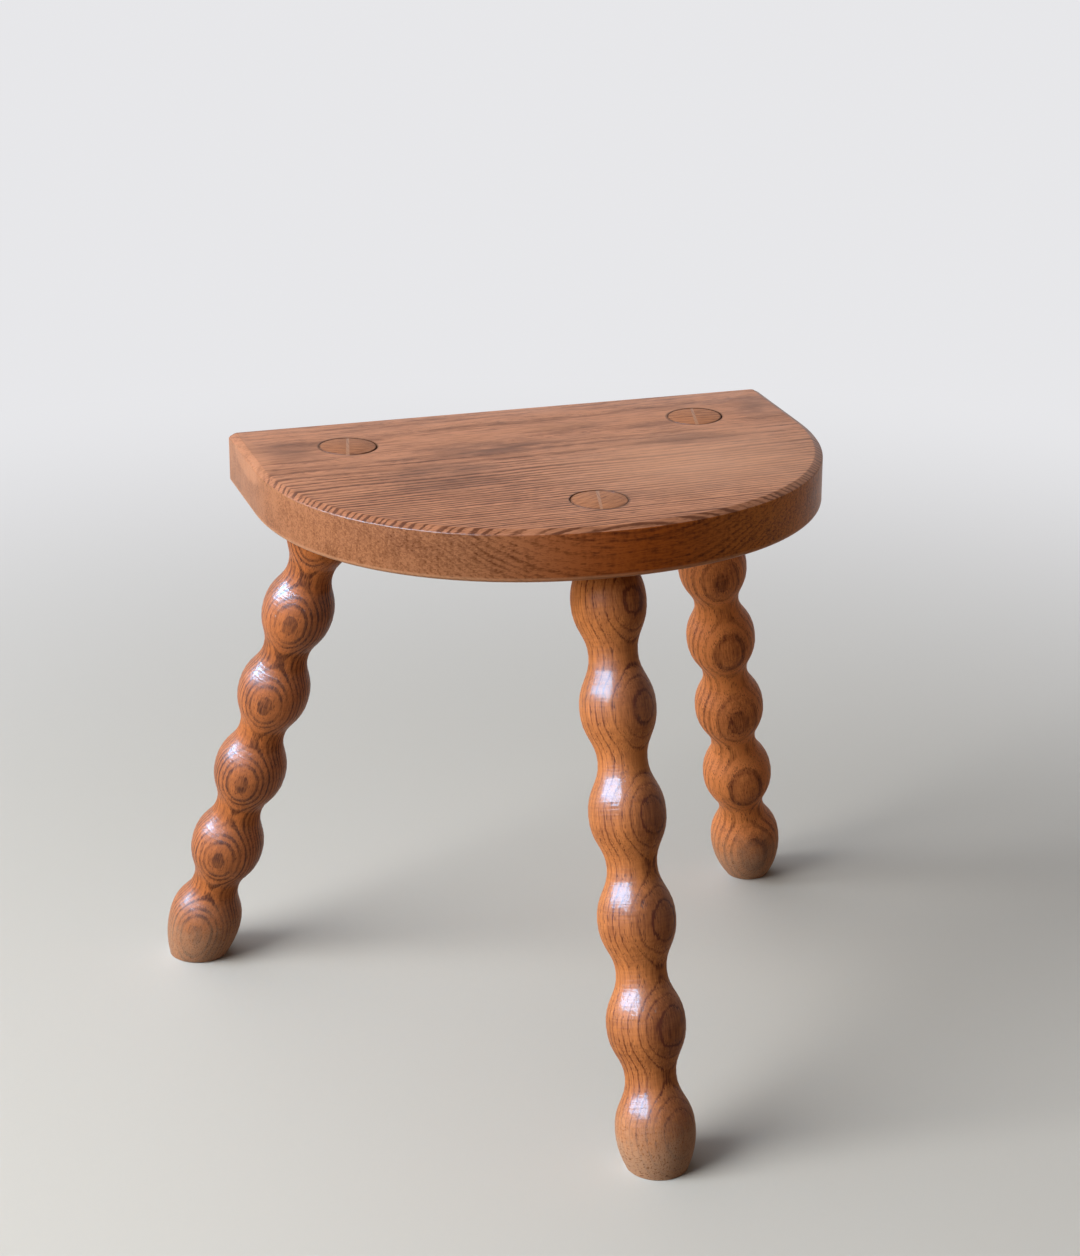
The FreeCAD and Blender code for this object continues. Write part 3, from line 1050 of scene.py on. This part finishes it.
# places on the board as centre and half sizes in millimetres, from the middle of its back edge
RUBBED_AND_GLARE = (0.54, 0.245, 0.120, 1)
RUBBED_CORNER = ((-149.0, -46.0, 0.0), (11.0, 36.0, 12.0))
RUBBED_CORNER_CORE = 0.8
# a painted glare: a pale patch near the middle of the back, where the top mirrors the window
PAINTED_GLARE_BACK = ((18.0, -38.0, 0.0), (30.0, 12.0, 9.0))
RUBBED_AND_GLARE_SHARE = 0.3
PALE = (0.68, 0.345, 0.195, 1)
PALE_PATCH = ((75.0, -120.0, 0.0), (115.0, 80.0, 9.0))
PALE_SHARE = 0.55
SMUDGE = (0.125, 0.050, 0.026, 1)
SMUDGE_CLOUD = (8.0, 8.0, 22.0)
SMUDGE_CLOUDS = (0.2, 0.6)
SMUDGES = (
    ((-22.0, -68.0, 0.0), (54.0, 19.0, 9.0), 0.75),
    ((-57.0, -95.0, 0.0), (50.0, 17.0, 9.0), 0.65),
    ((-62.0, -120.0, 0.0), (42.0, 15.0, 9.0), 0.55),
    ((-125.0, -43.0, 0.0), (24.0, 24.0, 9.0), 0.6),
    ((80.0, -80.0, 0.0), (40.0, 17.0, 9.0), 0.5),
    ((135.0, -35.0, 0.0), (18.0, 24.0, 9.0), 0.5),
)
BORE_RIM = (16.0, 14.9)


def board_wear(finish, colour, grain, rings, faces, on_board):
    marks = finish.between(rings, *MARKED_RINGS)
    marks = finish.times(finish.between(faces.sideways, *MARKED_SIDES), marks)
    # the whole bevel is darkened a little, and more where the ring ends show
    marks = finish.math("MULTIPLY_ADD", marks, MARK_SHARE, BEVEL_DARKER)
    colour = finish.mix(finish.times(faces.bevel, marks), colour, CROSS_MARK)
    # the edge is paler from just above the lower chamfer down
    chamfer = finish.between(finish.parts(on_board)[2], *CHAMFER_HEIGHTS)
    colour = finish.mix(finish.times(chamfer, CHAMFER_SHARE), colour, CHAMFER_PALE)

    # the back left corner is rubbed pale, and a pale patch near the back is a painted glare
    rubbed_and_glare = finish.spot(on_board, *RUBBED_CORNER, RUBBED_CORNER_CORE)
    rubbed_and_glare = finish.either(rubbed_and_glare, finish.spot(on_board, *PAINTED_GLARE_BACK))
    colour = finish.mix(finish.times(rubbed_and_glare, RUBBED_AND_GLARE_SHARE), colour, RUBBED_AND_GLARE)
    colour = finish.mix(finish.times(finish.spot(on_board, *PALE_PATCH), PALE_SHARE), colour, PALE)
    cloud = finish.between(finish.noise(grain.place, SMUDGE_CLOUD, FINE_DETAIL), *SMUDGE_CLOUDS)
    for centre, size, strength in SMUDGES:
        share = finish.times(finish.spot(on_board, centre, size), cloud)
        colour = finish.mix(finish.times(share, strength), colour, SMUDGE)

    for leg in LEGS:
        from_axis = finish.from_axis(finish.in_millimetres(leg_frame(leg)))
        joint = finish.between(from_axis, *BORE_RIM)
        colour = finish.mix(finish.times(joint, DIRT_SHARE), colour, JOINT_DIRT)
    return colour


print(len(SMUDGES), "smudges on the board")

# %% Put the finish on the seat
GLOSS_PATCH = (12.0, 12.0, 30.0)
GLOSS_PATCHES = 0.16
SEAT_ROUGHNESS = 0.26
SEAT_SHEEN = 0.045
RING_HEIGHT = 0.4
SEAT_PORE_DEPTH = 0.8
SEAT_BUMP = 0.25
SEAT_RIDGE = 0.15 * MM


def seat_finish():
    finish = Finish("seat_wood")
    grain = board_grain(finish)
    faces = board_faces(finish)
    on_board = finish.in_millimetres(Matrix.Translation((SEAT_MIDDLE, SEAT_BACK, SEAT_TOP)))
    rings = board_rings(finish, grain, faces, on_board)
    colour = board_colour(finish, grain, rings, faces, on_board)
    finish.set("Base Color", board_wear(finish, colour, grain, rings, faces, on_board))

    gloss = finish.noise(grain.place, GLOSS_PATCH)
    finish.set("Roughness", finish.math("MULTIPLY_ADD", gloss, GLOSS_PATCHES, SEAT_ROUGHNESS))
    finish.set("Specular IOR Level", SEAT_SHEEN)
    relief = finish.math("MULTIPLY_ADD", rings, RING_HEIGHT, finish.times(grain.pores, -SEAT_PORE_DEPTH))
    bump = finish.node("Bump", {"Height": relief, "Strength": SEAT_BUMP, "Distance": SEAT_RIDGE})
    finish.set("Normal", bump.outputs[0])
    return finish


seat_finish().put_on(seat)

# %% [markdown]
# ## The finish of the wedges
# A wedge is a plain sliver, split along the grain so that it drives without breaking. Only its end shows,
# as a thin line across the tenon. The same rings serve, with the grain upright and the pith off to one
# side.

# %% Put the finish on the wedges
WEDGE_LIGHT = (0.42, 0.20, 0.10, 1)
WEDGE_DARK = (0.24, 0.10, 0.045, 1)
WEDGE_PITH = Vector((60 * MM, 0, 0))
WEDGE_RING = 2.0
WEDGE_LATE = 0.3
WEDGE_WOBBLE = 1.0
WEDGE_RAGGED = 0.5
WEDGE_FIBRES = 0.6
WEDGE_ROUGHNESS = 0.35
WEDGE_ROUGH_FIBRES = 0.15
WEDGE_SHEEN = 0.1


def wedge_finish(leg):
    finish = Finish("wedge_wood_" + leg)
    pith = frame_about(tenon_centre(leg) + WEDGE_PITH, Vector((0, 0, 1)), Vector((0, 1, 0)))
    grain = wood_grain(finish, pith, WEDGE_RING, WEDGE_LATE, WEDGE_WOBBLE, WEDGE_RAGGED)
    tone = finish.clamp(finish.vary(grain.dark, grain.fibres, WEDGE_FIBRES))
    finish.set("Base Color", finish.mix(tone, WEDGE_LIGHT, WEDGE_DARK))
    finish.set("Roughness", finish.math("MULTIPLY_ADD", grain.fibres, WEDGE_ROUGH_FIBRES, WEDGE_ROUGHNESS))
    finish.set("Specular IOR Level", WEDGE_SHEEN)
    return finish


for leg in LEGS:
    wedge_finish(leg).put_on(wedges[leg])

# %% [markdown]
# ## Tie the pieces to the frame
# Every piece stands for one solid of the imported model, which is then hidden, and rides on the one body of
# the part.

# %% Replace the solids
for leg in LEGS:
    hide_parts("leg_" + leg)
    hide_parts("wedge_" + leg)
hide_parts("seat_board")
for piece in (seat, *turned_legs.values(), *wedges.values()):
    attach(piece, "root")
    lowest = min(vertex.co.z for vertex in piece.data.vertices)
    highest = max(vertex.co.z for vertex in piece.data.vertices)
    print(piece.name, "rides on the frame, from", round(lowest / MM, 3), "to", round(highest / MM, 3), "mm")

# %% [markdown]
# ## The floor
# The floor is one wide disc, pale and matt, which fades to an even glow further out, so that no horizon
# shows. A curved backdrop would hide it too, but only from one side. Rays from the camera, off a mirror or
# through glass see the glow, and no others, so it doesn't light the stool. Rays that gather light find a
# darker, warmer floor, which keeps the undersides deep.

# %% Lay the floor
FLOOR_RADIUS = 9.0
FLOOR_SIDES = 96
FLOOR_NEAR = (0.61, 0.60, 0.56, 1)
FLOOR_BOUNCE = (0.30, 0.25, 0.20, 1)
FLOOR_FAR = (0.80, 0.80, 0.82, 1)
FLOOR_FADE = (0.35, 1.3)
FLOOR_ROUGHNESS = 0.8
FLOOR_SHEEN = 0.05


def seen(nodes):
    """1 for rays from the camera, off a mirror or through glass, and 0 for rays that gather light."""
    ray = nodes.node("LightPath", {}).outputs
    mirrored = nodes.either(ray["Is Camera Ray"], ray["Is Glossy Ray"])
    return nodes.either(mirrored, ray["Is Transmission Ray"])


def floor_paint():
    paint = Finish("floor_paint")
    in_view = seen(paint)
    paint.set("Base Color", paint.mix(in_view, FLOOR_BOUNCE, FLOOR_NEAR))
    paint.set("Roughness", FLOOR_ROUGHNESS)
    paint.set("Specular IOR Level", FLOOR_SHEEN)
    away = paint.between(paint.length(paint.coordinates("Object")), *FLOOR_FADE)
    glow = paint.node("Emission", {"Color": FLOOR_FAR}).outputs[0]
    share = paint.times(in_view, away)
    blend = paint.node("MixShader", {0: share, 1: paint.shader.outputs[0], 2: glow})
    paint.feed(paint.tree.nodes["Material Output"].inputs["Surface"], blend.outputs[0])
    return paint


bpy.ops.object.select_all(action="DESELECT")
bpy.ops.mesh.primitive_circle_add(
    vertices=FLOOR_SIDES,
    radius=FLOOR_RADIUS,
    fill_type="NGON",
    location=(0, 0, 0),
)
floor = bpy.context.object
floor.name = "floor"
floor_paint().put_on(floor)
print("floor", FLOOR_RADIUS, "m")

# %% [markdown]
# ## The light
# The stool is lit by a large window on its left. One soft lamp there gives the light, and its mirror image
# in the polish is a panel of its own, upright and further back, which only reflections see. So the bright
# patches on the bobbins can be set where they belong without a change in the light. A weak, warm lamp on
# the right stands for the light that comes back from that side.

# %% Window, its reflection and a weak fill
LIGHT_TARGET = Vector((0, -0.05, 0.18))
WINDOW_FROM = Vector((-0.88, -0.17, 0.43))
WINDOW_DISTANCE = 2.3
WINDOW_SIZE = (1.7, 1.9)
WINDOW_POWER = 80
WINDOW_COLOUR = (1.0, 0.98, 0.95)
SHINE_FACES = Vector((-0.755, -0.656, 0))
SHINE_MIDDLE = Vector((-1.79, 0.18, 1.60))
SHINE_SIZE = (2.9, 1.6)
SHINE_POWER = 2100
SHINE_COLOUR = (0.25, 0.60, 1.0)
SIDE_FROM = Vector((0.80, -0.55, 0.20))
SIDE_DISTANCE = 2.0
SIDE_SIZE = (1.2, 1.2)
SIDE_POWER = 2.2
SIDE_COLOUR = (1.0, 0.62, 0.40)


def area_light(name, place, backwards, size, power, colour):
    """A rectangular light at a place, whose back points backwards."""
    bpy.ops.object.light_add(type="AREA", location=place)
    light = bpy.context.object
    light.name = name
    light.rotation_euler = backwards.to_track_quat("Z", "Y").to_euler()
    light.data.shape = "RECTANGLE"
    light.data.size, light.data.size_y = size
    light.data.energy = power
    light.data.color = colour
    return light


window_place = LIGHT_TARGET + WINDOW_FROM.normalized() * WINDOW_DISTANCE
window = area_light("window", window_place, WINDOW_FROM, WINDOW_SIZE, WINDOW_POWER, WINDOW_COLOUR)
window.visible_glossy = False
shine = area_light("window_shine", SHINE_MIDDLE, SHINE_FACES, SHINE_SIZE, SHINE_POWER, SHINE_COLOUR)
shine.visible_diffuse = False
side_place = LIGHT_TARGET + SIDE_FROM.normalized() * SIDE_DISTANCE
area_light("side_light", side_place, SIDE_FROM, SIDE_SIZE, SIDE_POWER, SIDE_COLOUR)
print("lights", [light.name for light in bpy.data.lights])

# %% [markdown]
# The world is the light that comes from all round. One even colour would do, but it would fill every shadow
# alike. This one is dim, so that the sides away from the window stay deep, and pale only at the back left.
# To the camera, and in reflections, all of it is pale.

# %% The light from all round
SKY_DIM = (0.056, 0.052, 0.048, 1)
SKY_PALE = (0.95, 0.95, 1.0, 1)
PALE_SIDE = Vector((-0.70, 0.55, 0.42)).normalized()
PALE_EDGE = (0.25, 0.8)

world = bpy.data.worlds.new("pale_room")
world.use_nodes = True
bpy.context.scene.world = world
room = Nodes(world.node_tree)
pale_side = room.between(room.dot(room.coordinates("Generated"), PALE_SIDE), *PALE_EDGE)
pale_share = room.either(seen(room), pale_side)
room.feed(room.tree.nodes["Background"].inputs["Color"], room.mix(pale_share, SKY_DIM, SKY_PALE))
bpy.context.scene.view_settings.view_transform = "Standard"
print("world", world.name)
